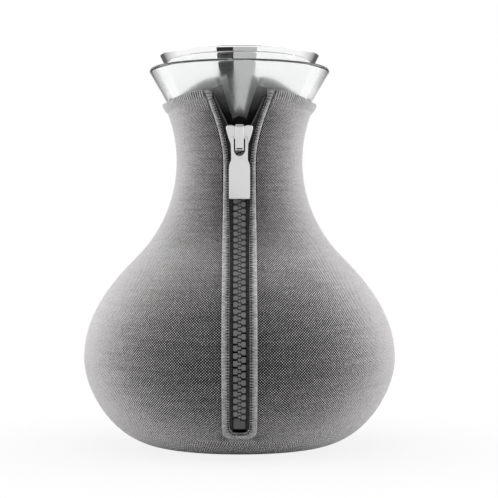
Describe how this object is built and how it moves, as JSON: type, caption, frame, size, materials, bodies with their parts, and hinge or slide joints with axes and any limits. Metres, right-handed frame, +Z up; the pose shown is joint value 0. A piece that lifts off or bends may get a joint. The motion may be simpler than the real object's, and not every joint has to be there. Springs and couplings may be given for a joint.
{
  "type": "tea maker",
  "caption": "Wide-bellied glass tea maker in a zipped woven jacket, with a flared steel pouring funnel, neck seal, hanging strainer and lift-off lid.",
  "frame": {"origin": "centre of the underside of the base", "axes": "+Z up through the mouth, the zip faces -Y"},
  "size_m": [0.1592, 0.1596, 0.2],
  "materials": {
    "glass": "clear, blown",
    "jacket_fabric": "woven, foam-backed",
    "welt_fabric": "stitched binding",
    "zip_tape": "woven tape",
    "zip_plastic": "moulded",
    "satin_metal": "satin",
    "polished_steel": "polished",
    "silicone": "matt"
  },
  "bodies": {
    "vessel": {"glass_flask": "glass", "jacket_shell": "jacket_fabric", "jacket_base": "jacket_fabric", "jacket_hem": "jacket_fabric", "zip_welt": "welt_fabric", "zip_tape_left": "zip_tape", "zip_tape_right": "zip_tape", "zip_guard": "zip_tape", "zip_teeth_left": "zip_plastic", "zip_teeth_right": "zip_plastic", "zip_bottom_stop": "zip_plastic", "zip_top_stop_left": "satin_metal", "zip_top_stop_right": "satin_metal"},
    "slider": {"slider_body": "satin_metal", "slider_cap": "satin_metal", "slider_lock": "satin_metal"},
    "pull": {"pull_tab": "satin_metal"},
    "funnel": {"pour_funnel": "polished_steel", "neck_seal": "silicone"},
    "strainer": {"strainer_ring": "polished_steel", "strainer_tube": "polished_steel", "strainer_base": "polished_steel"},
    "lid": {"lid_plate": "polished_steel", "lid_gasket": "silicone", "lid_knob": "polished_steel", "lid_screw": "polished_steel"}
  },
  "joints": [
    {"name": "zip_travel", "type": "hinge", "parent": "vessel", "child": "slider", "pos_m": [0, -0.10145, 0.1452], "axis": [-1, 0, 0], "range_deg": [0, 45], "deforming": ["zip_teeth_left", "zip_teeth_right", "zip_tape_left", "zip_tape_right", "zip_welt"]},
    {"name": "pull_hinge", "type": "hinge", "parent": "slider", "child": "pull", "pos_m": [0, -0.03608, 0.15466], "axis": [-1, 0, 0], "range_deg": [0, 140]},
    {"name": "funnel_lift", "type": "slide", "parent": "vessel", "child": "funnel", "axis": [0, 0, 1], "range_m": [0, 0.055]},
    {"name": "strainer_lift", "type": "slide", "parent": "funnel", "child": "strainer", "axis": [0, 0, 1], "range_m": [0, 0.17]},
    {"name": "lid_lift", "type": "slide", "parent": "strainer", "child": "lid", "axis": [0, 0, 1], "range_m": [0, 0.022]}
  ]
}
